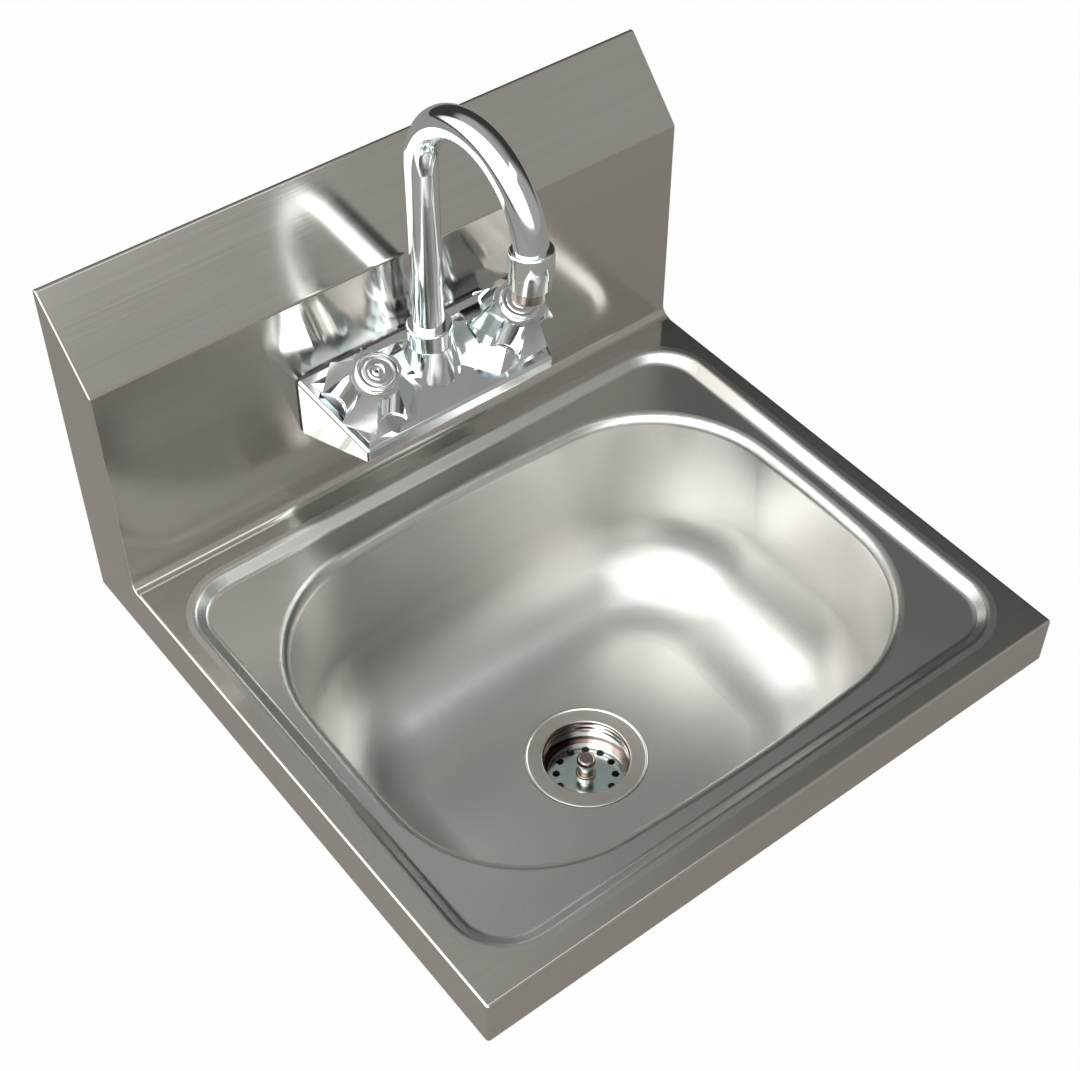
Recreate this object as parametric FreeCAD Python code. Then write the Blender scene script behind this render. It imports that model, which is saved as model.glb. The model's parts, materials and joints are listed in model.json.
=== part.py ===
import FreeCAD, Part
import math
import os

# A wall-hung hand basin of stainless sheet with a gooseneck faucet on its splash.
# All sizes are in millimetres. X runs to the user's right, Y back to the wall, Z up.
# Pieces are drawn with the wall at y = 0 and the top of the deck at z = 0. They are then
# set down so that the origin lies on the wall, midway between the bracket's two screws.

# Sheet-metal deck, aprons and splash
TOP_WIDTH = 406.4
TOP_DEPTH = 390.5
SHEET = 1.2
APRON_HEIGHT = 33.0
APRON_LIP = 12.0
EDGE_RADIUS = 2.0
SPLASH_STANDOFF = 45.8
FOLD_HEIGHT = 149.5
SPLASH_HEIGHT = 198.5
COVE_RADIUS = 7.0
FOLD_RADIUS = 3.0
HEM_HEIGHT = 25.0
HEM_RADIUS = 2.0
WELD_EDGE_RADIUS = 0.9

# Pressed bowl: a sloped step down inside the deck's border, a level ledge, then the bowl itself
BORDER_SIDE = 14.8
BORDER_FRONT = 16.3
BORDER_BACK = 21.1
STEP_CORNER = 34.0
STEP_DEPTH = 5.2
STEP_RUN = 7.0
STEP_RADIUS = 5.0
BOWL_FLANGE = 5.0
LEDGE_SIDE = 19.7
LEDGE_FRONT = 22.4
LEDGE_BACK = 27.9
RIM_CORNER = 86.0
RIM_FRONT_ARC = 1400.0
RIM_SIDE_ARC = 1000.0
RIM_RADIUS = 7.0
BOWL_DEPTH = 138.8
BOWL_DRAFT_DEGREES = 2.0
FLOOR_RADIUS = 66.0
FLOOR_SIDE_FLAT = 60.0

# Wall bracket
BRACKET_END_GAP = 38.2
BRACKET_SHEET = 2.0
BRACKET_FLANGE = 32.0
BRACKET_LIP = 15.0
BRACKET_SCREW_SPACING = 203.2
BRACKET_SCREW_HOLE = 7.0
HANG_CLEARANCE = 0.3

# Drain cup, its clamping rings and the outlet pipe
DRAIN_BACK_OFFSET = 3.0
DRAIN_FLANGE_WIDTH = 78.4
DRAIN_FLANGE = 2.0
DRAIN_FLANGE_CLEARANCE = 0.3
DRAIN_BEAD_WIDTH = 2.0
DRAIN_BEAD_HEIGHT = 0.6
CUP_BORE = 55.0
CUP_WALL = 2.5
CUP_DEPTH = 30.0
CUP_LIP_RADIUS = 1.6
CUP_SEAT_DEPTH = 20.0
CUP_SEAT_BORE = 46.0
CUP_HOLE_CLEARANCE = 0.5
THREAD_CREST = 0.9
THREAD_PITCH = 4.0
SHANK_TAPER = 7.0
DRAIN_SHANK = 48.2
DRAIN_SHANK_BORE = 38.5
DRAIN_SHANK_LENGTH = 28.0
DRAIN_RING_WIDTH = 82.0
DRAIN_GASKET = 3.0
FRICTION_RING = 1.0
LOCKNUT_HEIGHT = 8.0
LOCKNUT_LUG = 6.0
LOCKNUT_LUG_WIDTH = 12.0
LOCKNUT_LUGS = 4
TAIL_DIAMETER = 38.1
TAIL_WALL = 1.0
TAIL_LENGTH = 100.0
TAIL_FLANGE = 1.5
TAIL_WASHER = 2.0
TAIL_NUT_WALL = 4.5
TAIL_NUT_GRIP = 12.0
TAIL_NUT_FLOOR = 3.5
TAIL_NUT_CLEARANCE = 0.3
TAIL_FREE_LENGTH = 60.0
TAIL_MARK_WIDTH = 1.2
TAIL_MARK = 0.25

# Lift-out strainer
STRAINER_WIDTH = 50.0
STRAINER_PLATE = 1.6
STRAINER_HOLE = 5.0
STRAINER_HOLES = 12
STRAINER_HOLE_CIRCLE = 38.0
STRAINER_SET_DEGREES = -8.0
STRAINER_SEAT_GAP = 0.05
POST_SHANK = 5.0
POST_COLLAR = 13.0
POST_COLLAR_HEIGHT = 3.0
POST_NECK = 8.0
POST_KNOB = 12.0
POST_HEIGHT = 17.0
POST_KNOB_HEIGHT = 6.0
POST_ROUNDING = 1.2
POST_NUT = 10.0
POST_NUT_HEIGHT = 4.0

# Faucet body on the splash
GASKET_THICKNESS = 1.5
GASKET_MARGIN = 2.0
BODY_BACK_WIDTH = 159.0
BODY_FRONT_WIDTH = 135.0
BODY_DEPTH = 50.5
BODY_BACK_LOW = 53.0
BODY_BACK_TOP = 95.0
BODY_FRONT_LOW = 61.0
BODY_FRONT_TOP = 70.5
BODY_ROUNDING = 2.5
VALVE_CENTRES = 101.6
VALVE_SETBACK = 24.5
PLATFORM_HEIGHT = 10.0
PLATFORM_TOP_RADIUS = 19.0
PLATFORM_SINK = 1.5
# The foot of a valve platform, in shares of half the valve centres and of the body's run before
# or behind the valve: its inner corner by the hub, then round by the front to the back.
PLATFORM_FOOT_SHARES = ((-0.86, -0.15), (-0.42, -0.88), (0.26, -0.88), (0.47, 0.9), (-0.80, 0.9))
HUB_SETBACK = 19.5
HUB_TOP = 98.5
HUB_BASE_RADIUS = 19.0
HUB_TOP_RADIUS = 13.8
HUB_NECK_HEIGHT = 7.0
HUB_NECK_WALL = 1.7
HUB_BORE_FLOOR = 74.0

# Supply shanks through the splash
SHANK_HEIGHT = 67.0
SHANK_DIAMETER = 20.6
SHANK_BORE = 12.0
SHANK_SOCKET = 8.0
SHANK_REACH = 30.0
SHANK_HOLE = 25.4
SHANK_WASHER_WIDTH = 34.0
SHANK_WASHER = 2.0
SHANK_LOCKNUT_FLATS = 30.0
SHANK_LOCKNUT_HEIGHT = 7.0
SHANK_RELIEF_GAP = 1.0
SHANK_RELIEF_WIDTH = 2.0
SHANK_RELIEF = 0.8
PASSAGE_DIAMETER = 8.0

# Quarter-turn valves, with heights along the valve's axis from the body's sloped top
VALVE_BORE = 20.0
VALVE_SEAT_DEPTH = 16.0
INLET_CHAMBER_DEPTH = 6.0
INLET_CHAMBER = 10.0
SEAT_SEAL = 2.0
SEAT_SEAL_WALL = 3.0
DISC_DIAMETER = 16.6
DISC_THICKNESS = 3.0
DISC_PORT = 5.0
DISC_PORT_CENTRES = 8.0
DISC_GAP = 0.05
BONNET_WALL = 1.4
BONNET_CAVITY_ROOM = 4.0
BONNET_FLANGE_WIDTH = 26.0
BONNET_FLANGE = 2.0
BONNET_NECK = 19.0
BONNET_NECK_HEIGHT = 5.0
BONNET_WINDOW = 5.0
STEM_DIAMETER = 8.0
STEM_CLEARANCE = 0.05
STEM_END_PLAY = 0.3
STEM_TOP = 27.0

# Four-lobed handles and their screws and buttons
HANDLE_GAP = 0.5
HANDLE_HEIGHT = 24.0
HANDLE_BAND = 2.5
HANDLE_HUB_GAP = 4.8
HANDLE_TOP_RADIUS = 15.5
LOBES = 4
LOBE_FLAT = 1.9
FLUTE_RADIUS = 11.0
FLUTE_BASE_OFFSET = 2.0
FLUTE_TOP_OFFSET = 7.0
HANDLE_RECESS_CLEARANCE = 1.2
HANDLE_ROOF_CLEARANCE = 0.6
HANDLE_SCREW_WEB = 1.2
HANDLE_WELL = 10.4
HOT_HANDLE_SET_DEGREES = 45.0
COLD_HANDLE_SET_DEGREES = 0.0
HANDLE_SCREW = 4.0
HANDLE_SCREW_LENGTH = 10.0
HANDLE_SCREW_HEAD = 8.4
HANDLE_SCREW_HEAD_HEIGHT = 2.6
BUTTON_DIAMETER = 25.0
BUTTON_HEIGHT = 3.0
BUTTON_ROUNDING = 1.2
BUTTON_PLUG_DEPTH = 3.0
BUTTON_GROOVE_DIAMETER = 18.0
BUTTON_GROOVE = 1.2

# Gooseneck, its collar nut and its nozzle
TUBE_DIAMETER = 19.0
TUBE_WALL = 2.2
TUBE_FOOT = 81.0
SWIVEL_CLEARANCE = 0.08
SPOUT_NUT_HEIGHT = 13.0
SPOUT_NUT_RADIUS = 13.8
SPOUT_NUT_ROUNDING = 1.5
FERRULE_HEIGHT = 1.0
FERRULE_CLEARANCE = 0.1
SEAL_THICKNESS = 1.3
SEAL_SPACING = 6.0
SEALS = 2
ARC_RADIUS = 48.5
ARC_CENTRE_HEIGHT = 221.0
ARC_DEGREES = 186.0
NOZZLE_STUB = 8.0
NOZZLE_SLEEVE_DEGREES = 12.0
NOZZLE_WALL = 2.7
NOZZLE_COLLAR = 4.0
NOZZLE_BARREL_STEP = 0.5
NOZZLE_BARREL = 9.0
NOZZLE_TIP_STEP = 1.8
NOZZLE_TIP = 9.0
NOZZLE_ROUNDING = 1.8
NOZZLE_LIP = 1.2
NOZZLE_LIP_HEIGHT = 2.5
NOZZLE_WASHER = 2.0
NOZZLE_WASHER_WALL = 3.0
INSERT_HOLE = 1.8
INSERT_RING_DIAMETERS = (6.0, 12.0)
INSERT_RING_HOLES = (6, 12)

# Plain tolerances: room for cuts to run past a face, and the distance at which points merge
OVERRUN = 1.0
MERGE = 1e-6

# Places that follow from the sizes above
HALF_WIDTH = TOP_WIDTH / 2
SPLASH_FACE = -SPLASH_STANDOFF
COVE_START = SPLASH_FACE - COVE_RADIUS
STEP_BACK = SPLASH_FACE - BORDER_BACK
STEP_WIDTH = TOP_WIDTH - 2 * BORDER_SIDE
STEP_LENGTH = TOP_DEPTH + STEP_BACK - BORDER_FRONT
STEP_CENTRE = STEP_BACK - STEP_LENGTH / 2
RIM_WIDTH = STEP_WIDTH - 2 * LEDGE_SIDE
RIM_LENGTH = STEP_LENGTH - LEDGE_FRONT - LEDGE_BACK
BOWL_CENTRE = STEP_BACK - LEDGE_BACK - RIM_LENGTH / 2
DRAIN_CENTRE = BOWL_CENTRE + DRAIN_BACK_OFFSET
BOWL_FLOOR = -STEP_DEPTH - BOWL_DEPTH
HEM_FOOT = SPLASH_HEIGHT - HEM_HEIGHT
BRACKET_JOG = HEM_FOOT - SHEET - HANG_CLEARANCE
SCREW_LINE = BRACKET_JOG - BRACKET_FLANGE / 2
BRACKET_WIDTH = TOP_WIDTH - 2 * BRACKET_END_GAP
CUP_RADIUS = CUP_BORE / 2 + CUP_WALL
CUP_FOOT = -CUP_DEPTH
CLAMP_TOP = -DRAIN_FLANGE - SHEET
GASKET_FOOT = CLAMP_TOP - DRAIN_GASKET
FRICTION_FOOT = GASKET_FOOT - FRICTION_RING
SHANK_TOP = CUP_FOOT - SHANK_TAPER
SHANK_FOOT = SHANK_TOP - DRAIN_SHANK_LENGTH
WASHER_FOOT = SHANK_FOOT - TAIL_WASHER
TAIL_FLANGE_FOOT = WASHER_FOOT - TAIL_FLANGE
TAIL_FOOT = WASHER_FOOT - TAIL_LENGTH
STRAINER_FOOT = STRAINER_SEAT_GAP - CUP_SEAT_DEPTH
STRAINER_TOP = STRAINER_FOOT + STRAINER_PLATE
BODY_BACK = SPLASH_FACE - GASKET_THICKNESS
LOCKNUT_FRONT = SPLASH_FACE + SHEET + SHANK_WASHER
RELIEF_FRONT = LOCKNUT_FRONT + SHANK_LOCKNUT_HEIGHT + SHANK_RELIEF_GAP
RELIEF_BACK = RELIEF_FRONT + SHANK_RELIEF_WIDTH
SHANK_END = SPLASH_FACE + SHEET + SHANK_REACH
BODY_SLOPE = math.atan2(BODY_BACK_TOP - BODY_FRONT_TOP, BODY_DEPTH)
VALVE_FOOT = BODY_BACK_TOP - VALVE_SETBACK * math.tan(BODY_SLOPE)
SEAL_TOP = -VALVE_SEAT_DEPTH + SEAT_SEAL
FIXED_DISC_TOP = SEAL_TOP + DISC_THICKNESS
MOVING_DISC_FOOT = FIXED_DISC_TOP + DISC_GAP
MOVING_DISC_TOP = MOVING_DISC_FOOT + DISC_THICKNESS
BONNET_SHOULDER = MOVING_DISC_TOP + BONNET_CAVITY_ROOM
BONNET_TOP = PLATFORM_HEIGHT + BONNET_FLANGE + BONNET_NECK_HEIGHT
HANDLE_FOOT = PLATFORM_HEIGHT + HANDLE_GAP
HANDLE_TOP = HANDLE_FOOT + HANDLE_HEIGHT
HANDLE_BASE_RADIUS = VALVE_CENTRES / 2 - HUB_BASE_RADIUS - HANDLE_HUB_GAP
SCREW_SEAT = STEM_TOP + HANDLE_SCREW_WEB
TUBE_RADIUS = TUBE_DIAMETER / 2
HUB_AXIS = BODY_BACK - HUB_SETBACK
NECK_TOP = HUB_TOP + HUB_NECK_HEIGHT
NECK_RADIUS = TUBE_RADIUS + SWIVEL_CLEARANCE + HUB_NECK_WALL
FERRULE_FOOT = NECK_TOP + FERRULE_CLEARANCE
SPOUT_NUT_ROOF = FERRULE_FOOT + FERRULE_HEIGHT + FERRULE_CLEARANCE
ARC_CENTRE = HUB_AXIS - ARC_RADIUS
NOZZLE_RADIUS = TUBE_RADIUS + NOZZLE_WALL
NOZZLE_BARREL_FOOT = NOZZLE_COLLAR + NOZZLE_BARREL
NOZZLE_FOOT = NOZZLE_BARREL_FOOT + NOZZLE_TIP
INSERT_FOOT = NOZZLE_FOOT - NOZZLE_LIP_HEIGHT


def vec(x, y, z):
    return FreeCAD.Vector(x, y, z)


# Drawing helpers

def rounded_outline(corners, place):
    """Closed wire through (u, v, radius) corners, each rounded by its own radius."""
    points = [vec(u, v, 0) for u, v, radius in corners]
    stops = []
    for i, (u, v, radius) in enumerate(corners):
        corner = points[i]
        back = (points[i - 1] - corner).normalize()
        ahead = (points[(i + 1) % len(points)] - corner).normalize()
        half_angle = back.getAngle(ahead) / 2
        start, middle, end = corner, corner, corner
        if radius:
            reach = radius / math.tan(half_angle)
            start = corner + back * reach
            end = corner + ahead * reach
            middle = corner + (back + ahead).normalize() * (radius / math.sin(half_angle) - radius)
        stops.append((start, middle, end))
    edges = []
    for i, (start, middle, end) in enumerate(stops):
        if corners[i][2]:
            edges.append(Part.Arc(*[place(p.x, p.y) for p in (start, middle, end)]).toShape())
        following = stops[(i + 1) % len(stops)][0]
        if end.distanceToPoint(following) > MERGE:
            edges.append(Part.makeLine(place(end.x, end.y), place(following.x, following.y)))
    return Part.Wire(edges)


def turned(corners):
    """Solid turned about Z from a closed outline of (radius, height, rounding) corners."""
    face = Part.Face(rounded_outline(corners, lambda radius, height: vec(radius, 0, height)))
    return face.revolve(vec(0, 0, 0), vec(0, 0, 1), 360)


def ring(inner, outer, low, high):
    """Plain ring or, with no inner radius, a plain disc about Z."""
    return turned([(inner, low, 0), (outer, low, 0), (outer, high, 0), (inner, high, 0)])


def across(corners, x_from, x_to):
    """Solid of one (y, z, rounding) section carried along X."""
    face = Part.Face(rounded_outline(corners, lambda y, z: vec(x_from, y, z)))
    return face.extrude(vec(x_to - x_from, 0, 0))


def upright(corners, z_from, z_to):
    """Solid of one (x, y, rounding) outline carried along Z."""
    face = Part.Face(rounded_outline(corners, lambda x, y: vec(x, y, z_from)))
    return face.extrude(vec(0, 0, z_to - z_from))


def rectangle(half_x, half_y, rounding, centre_y):
    """Corners of a rounded rectangle about x = 0."""
    front = centre_y - half_y
    back = centre_y + half_y
    return [(-half_x, front, rounding), (half_x, front, rounding),
            (half_x, back, rounding), (-half_x, back, rounding)]


def folded(path, thickness):
    """Corners of a strip with one side along path; a positive thickness lies to its left."""
    points = [vec(u, v, 0) for u, v, radius in path]
    runs = [(b - a).normalize() for a, b in zip(points, points[1:])]
    normals = [vec(-run.y, run.x, 0) for run in runs]
    far_side = []
    for i, (u, v, radius) in enumerate(path):
        before = normals[max(i - 1, 0)]
        after = normals[min(i, len(normals) - 1)]
        shift = (before + after) * (thickness / (1 + before.dot(after)))
        turns_left = before.cross(after).z > 0
        far_radius = radius - thickness if turns_left else radius + thickness
        far_side.append((u + shift.x, v + shift.y, far_radius if radius else 0))
    return path + far_side[::-1]


def rod(radius, start, end):
    """Round bar from one point to another."""
    way = end - start
    return Part.makeCylinder(radius, way.Length, start, way)


def hexagon(flats, low, high):
    """Hexagonal bar about Z, given across its flats."""
    radius = flats / math.sqrt(3)
    turns = [math.radians(60 * i) for i in range(6)]
    return upright([(radius * math.cos(t), radius * math.sin(t), 0) for t in turns], low, high)


def middle_of(edge):
    return edge.valueAt((edge.FirstParameter + edge.LastParameter) / 2)


def round_off(shape, radius, chosen):
    """Fillet the edges whose middle point passes a test."""
    return shape.makeFillet(radius, [edge for edge in shape.Edges if chosen(middle_of(edge))])


def near(a, b):
    return abs(a - b) < MERGE * TOP_WIDTH


# Sheet-metal deck, aprons, splash and ends

def deck_tray():
    """Deck with front and side aprons, turned in at their lower edges and open at the back."""
    def tray(inset, rounding, low, back):
        box = Part.makeBox(TOP_WIDTH - 2 * inset, back + TOP_DEPTH - inset, -inset - low,
                           vec(inset - HALF_WIDTH, inset - TOP_DEPTH, low))

        def outer_edge(p):
            on_front = near(p.y, inset - TOP_DEPTH)
            on_side = near(abs(p.x), HALF_WIDTH - inset)
            on_top = near(p.z, -inset)
            return (on_front and on_side) or (on_top and (on_front or on_side))
        return round_off(box, rounding, outer_edge)

    outside = tray(0, EDGE_RADIUS, -APRON_HEIGHT, COVE_START)
    inside = tray(SHEET, EDGE_RADIUS - SHEET, SHEET - APRON_HEIGHT, COVE_START + OVERRUN)
    lip_room = TOP_DEPTH + COVE_START - APRON_LIP + OVERRUN
    mouth = Part.makeBox(TOP_WIDTH - 2 * APRON_LIP, lip_room, 2 * SHEET,
                         vec(APRON_LIP - HALF_WIDTH, APRON_LIP - TOP_DEPTH, -SHEET / 2 - APRON_HEIGHT))
    return outside.cut([inside, mouth])


def splash_line():
    """The splash's visible line, from the deck up the cove, over the fold and down the hem."""
    return [(COVE_START, 0, 0), (SPLASH_FACE, 0, COVE_RADIUS), (SPLASH_FACE, FOLD_HEIGHT, FOLD_RADIUS),
            (0, SPLASH_HEIGHT, HEM_RADIUS)]


def bowl_opening():
    """The hole in the deck that the flange of the bowl is welded into."""
    outline = rectangle(STEP_WIDTH / 2 + BOWL_FLANGE, STEP_LENGTH / 2 + BOWL_FLANGE,
                        STEP_CORNER + BOWL_FLANGE, STEP_CENTRE)
    return upright(outline, BOWL_FLOOR - CUP_DEPTH, OVERRUN)


def deck_splash():
    inner_end = HALF_WIDTH - SHEET
    strip = across(folded(splash_line() + [(0, HEM_FOOT, 0)], -SHEET), -inner_end, inner_end)
    holes = [rod(SHANK_HOLE / 2, vec(x, SPLASH_FACE - OVERRUN, SHANK_HEIGHT),
                 vec(x, SPLASH_FACE + SHEET + OVERRUN, SHANK_HEIGHT))
             for x in (-VALVE_CENTRES / 2, VALVE_CENTRES / 2)]
    return deck_tray().fuse(strip).removeSplitter().cut(holes + [bowl_opening()])


def end_panel(side):
    """Plate that closes one end of the splash, flush with the side apron."""
    outline = [(COVE_START, -APRON_HEIGHT, 0)] + splash_line() + [(0, -APRON_HEIGHT, 0)]
    outer = side * HALF_WIDTH
    plate = across(outline, outer - side * SHEET, outer)

    def welded_edge(p):
        return near(p.x, outer) and p.y < -MERGE and p.z > 0
    return round_off(plate, WELD_EDGE_RADIUS, welded_edge)


def wall_bracket():
    """Folded strip, screwed to the wall, whose lip stands up in front of the splash's hem."""
    jog = SHEET + HANG_CLEARANCE
    back = [(0, BRACKET_JOG - BRACKET_FLANGE, 0), (0, BRACKET_JOG, 0),
            (-jog, BRACKET_JOG + jog, 0), (-jog, BRACKET_JOG + jog + BRACKET_LIP, 0)]
    strip = across(folded(back, BRACKET_SHEET), -BRACKET_WIDTH / 2, BRACKET_WIDTH / 2)
    holes = [rod(BRACKET_SCREW_HOLE / 2, vec(x, -BRACKET_SHEET - OVERRUN, SCREW_LINE),
                 vec(x, OVERRUN, SCREW_LINE))
             for x in (-BRACKET_SCREW_SPACING / 2, BRACKET_SCREW_SPACING / 2)]
    return strip.cut(holes)


# Pressed bowl

def barrel(corner_radius, growth, z):
    """Outline of the bowl at a height: four long arcs joined by four tangent corner arcs."""
    half_x = RIM_WIDTH / 2
    half_y = RIM_LENGTH / 2
    front_centre = half_y - RIM_FRONT_ARC
    side_centre = half_x - RIM_SIDE_ARC
    to_front = RIM_FRONT_ARC - corner_radius
    to_side = RIM_SIDE_ARC - corner_radius
    span = math.hypot(front_centre, side_centre)
    along = (to_front ** 2 - to_side ** 2 + span ** 2) / (2 * span)
    off = math.sqrt(to_front ** 2 - along ** 2)
    way_x = side_centre / span
    way_y = -front_centre / span
    corner_x = way_x * along + way_y * off
    corner_y = front_centre + way_y * along - way_x * off

    def on_arc(centre_x, centre_y, radius, toward_x, toward_y):
        length = math.hypot(toward_x, toward_y)
        return (centre_x + radius * toward_x / length, centre_y + radius * toward_y / length)

    front_join = on_arc(0, front_centre, RIM_FRONT_ARC + growth, corner_x, corner_y - front_centre)
    side_join = on_arc(side_centre, 0, RIM_SIDE_ARC + growth, corner_x - side_centre, corner_y)
    bisector = ((front_join[0] + side_join[0]) / 2 - corner_x, (front_join[1] + side_join[1]) / 2 - corner_y)
    corner = on_arc(corner_x, corner_y, corner_radius + growth, *bisector)

    def arc(*points):
        return Part.Arc(*[vec(x, BOWL_CENTRE + y, z) for x, y in points]).toShape()

    def flip(point, x, y):
        return (x * point[0], y * point[1])
    edges = []
    for x, y in ((1, 1), (1, -1), (-1, -1), (-1, 1)):
        ends = [flip(front_join, x, y), flip(corner, x, y), flip(side_join, x, y)]
        if x * y > 0:
            edges.append(arc(*ends))
            edges.append(arc(ends[2], (x * (half_x + growth), 0), flip(side_join, x, -y)))
        else:
            edges.append(arc(*ends[::-1]))
            edges.append(arc(ends[0], (0, y * (half_y + growth)), flip(front_join, -x, y)))
    return Part.Wire(edges)


def pressed_form(growth):
    """The open space over the bowl or, with growth, that space and the metal under it."""
    deck = -growth
    ledge = -STEP_DEPTH - growth
    floor = BOWL_FLOOR - growth
    step_growth = growth * math.tan(math.atan2(STEP_DEPTH, STEP_RUN) / 2)
    draft = math.radians(BOWL_DRAFT_DEGREES)
    bowl_growth = growth * math.tan((math.pi / 2 - draft) / 2)

    def step_outline(widening, z):
        corners = rectangle(STEP_WIDTH / 2 + widening, STEP_LENGTH / 2 + widening,
                            STEP_CORNER + widening, STEP_CENTRE)
        return rounded_outline(corners, lambda x, y: vec(x, y, z))

    headroom = Part.makeBox(TOP_WIDTH, TOP_DEPTH, STEP_DEPTH + growth, vec(-HALF_WIDTH, -TOP_DEPTH, deck))
    step = Part.makeLoft([step_outline(step_growth, deck), step_outline(step_growth - STEP_RUN, ledge)],
                         True, True)
    upper = headroom.fuse(step).removeSplitter()
    upper = round_off(upper, STEP_RADIUS + growth, lambda p: near(p.z, ledge))

    def step_top(p):
        inside = abs(p.x) < HALF_WIDTH - BOWL_FLANGE and -TOP_DEPTH + BOWL_FLANGE < p.y < -BOWL_FLANGE
        return near(p.z, deck) and inside
    upper = round_off(upper, STEP_RADIUS - growth, step_top)
    taper = BOWL_DEPTH * math.tan(draft)
    floor_corner = RIM_LENGTH / 2 - FLOOR_SIDE_FLAT / 2
    lower = Part.makeLoft([barrel(RIM_CORNER, bowl_growth, ledge),
                           barrel(floor_corner, bowl_growth - taper, floor)], True, True)
    lower = round_off(lower, FLOOR_RADIUS + growth, lambda p: near(p.z, floor))
    form = upper.fuse(lower).removeSplitter()

    def rim(p):
        inside = abs(p.x) < (RIM_WIDTH + STEP_WIDTH) / 4 - STEP_RUN / 2
        between = abs(p.y - BOWL_CENTRE) < RIM_LENGTH / 2 + bowl_growth + SHEET
        return near(p.z, ledge) and inside and between
    form = round_off(form, RIM_RADIUS - growth, rim)
    recess_radius = DRAIN_FLANGE_WIDTH / 2 + DRAIN_FLANGE_CLEARANCE + growth
    return form.fuse(at_drain(ring(0, recess_radius, -DRAIN_FLANGE - growth, OVERRUN)))


def bowl():
    hole = ring(0, CUP_RADIUS + CUP_HOLE_CLEARANCE, -CUP_DEPTH, OVERRUN)
    pressed = pressed_form(SHEET).cut(pressed_form(0)).common(bowl_opening())
    return pressed.cut(at_drain(hole))


# Drain, outlet pipe and strainer, turned about the drain's axis with the bowl's floor at zero

def at_drain(shape):
    return shape.translated(vec(0, DRAIN_CENTRE, BOWL_FLOOR))


def drain_cup():
    bore = CUP_BORE / 2
    shank_bore = DRAIN_SHANK_BORE / 2
    edge = DRAIN_FLANGE_WIDTH / 2
    cup = turned([
        (bore, 0, CUP_LIP_RADIUS), (edge - DRAIN_BEAD_WIDTH, 0, 0),
        (edge - DRAIN_BEAD_WIDTH / 2, DRAIN_BEAD_HEIGHT, DRAIN_BEAD_WIDTH / 3),
        (edge, DRAIN_BEAD_HEIGHT, DRAIN_BEAD_WIDTH / 3),
        (edge, -DRAIN_FLANGE, 0), (CUP_RADIUS, -DRAIN_FLANGE, 0),
        (CUP_RADIUS, CUP_FOOT, 0), (DRAIN_SHANK / 2, SHANK_TOP, 0),
        (DRAIN_SHANK / 2, SHANK_FOOT, 0), (shank_bore, SHANK_FOOT, 0),
        (shank_bore, SHANK_TOP + CUP_WALL, 0), (CUP_SEAT_BORE / 2, CUP_FOOT + CUP_WALL, 0),
        (CUP_SEAT_BORE / 2, -CUP_SEAT_DEPTH, 0), (bore, -CUP_SEAT_DEPTH, 0)])
    crests = [turned([(bore, height - THREAD_CREST, 0), (bore, height + THREAD_CREST, 0),
                      (bore - THREAD_CREST, height, THREAD_CREST / 4)])
              for height in (-2 * THREAD_PITCH, -THREAD_PITCH)]
    return cup.fuse(crests).removeSplitter()


def drain_locknut():
    foot = FRICTION_FOOT - LOCKNUT_HEIGHT
    nut = ring(0, DRAIN_RING_WIDTH / 2, foot, FRICTION_FOOT)
    half_lug = LOCKNUT_LUG_WIDTH / 2
    lug_end = DRAIN_RING_WIDTH / 2 + LOCKNUT_LUG
    for i in range(LOCKNUT_LUGS):
        lug = upright([(0, -half_lug, 0), (lug_end, -half_lug, 0), (lug_end, half_lug, 0), (0, half_lug, 0)],
                      foot, FRICTION_FOOT)
        lug.rotate(vec(0, 0, 0), vec(0, 0, 1), 360 / LOCKNUT_LUGS * i)
        nut = nut.fuse(lug)
    return nut.removeSplitter().cut(ring(0, CUP_RADIUS, foot - OVERRUN, FRICTION_FOOT + OVERRUN))


def tailpiece():
    """Flanged outlet pipe, with a line turned round it that marks how far a trap slides on."""
    outside = TAIL_DIAMETER / 2
    inside = outside - TAIL_WALL
    flange = DRAIN_SHANK / 2 - TAIL_NUT_CLEARANCE
    mark = TAIL_FOOT + TAIL_FREE_LENGTH
    pipe = turned([(inside, WASHER_FOOT, 0), (flange, WASHER_FOOT, 0), (flange, TAIL_FLANGE_FOOT, 0),
                   (outside, TAIL_FLANGE_FOOT, 0), (outside, TAIL_FOOT, 0), (inside, TAIL_FOOT, 0)])
    return pipe.cut(ring(outside - TAIL_MARK, outside + OVERRUN, mark, mark + TAIL_MARK_WIDTH))


def tailpiece_nut():
    foot = TAIL_FLANGE_FOOT - TAIL_NUT_FLOOR
    nut = hexagon(DRAIN_SHANK + 2 * TAIL_NUT_WALL, foot, SHANK_FOOT + TAIL_NUT_GRIP)
    thread = ring(0, DRAIN_SHANK / 2, TAIL_FLANGE_FOOT, SHANK_FOOT + TAIL_NUT_GRIP + OVERRUN)
    pipe_hole = ring(0, TAIL_DIAMETER / 2 + TAIL_NUT_CLEARANCE, foot - OVERRUN, SHANK_FOOT)
    return nut.cut([thread, pipe_hole])


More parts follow.
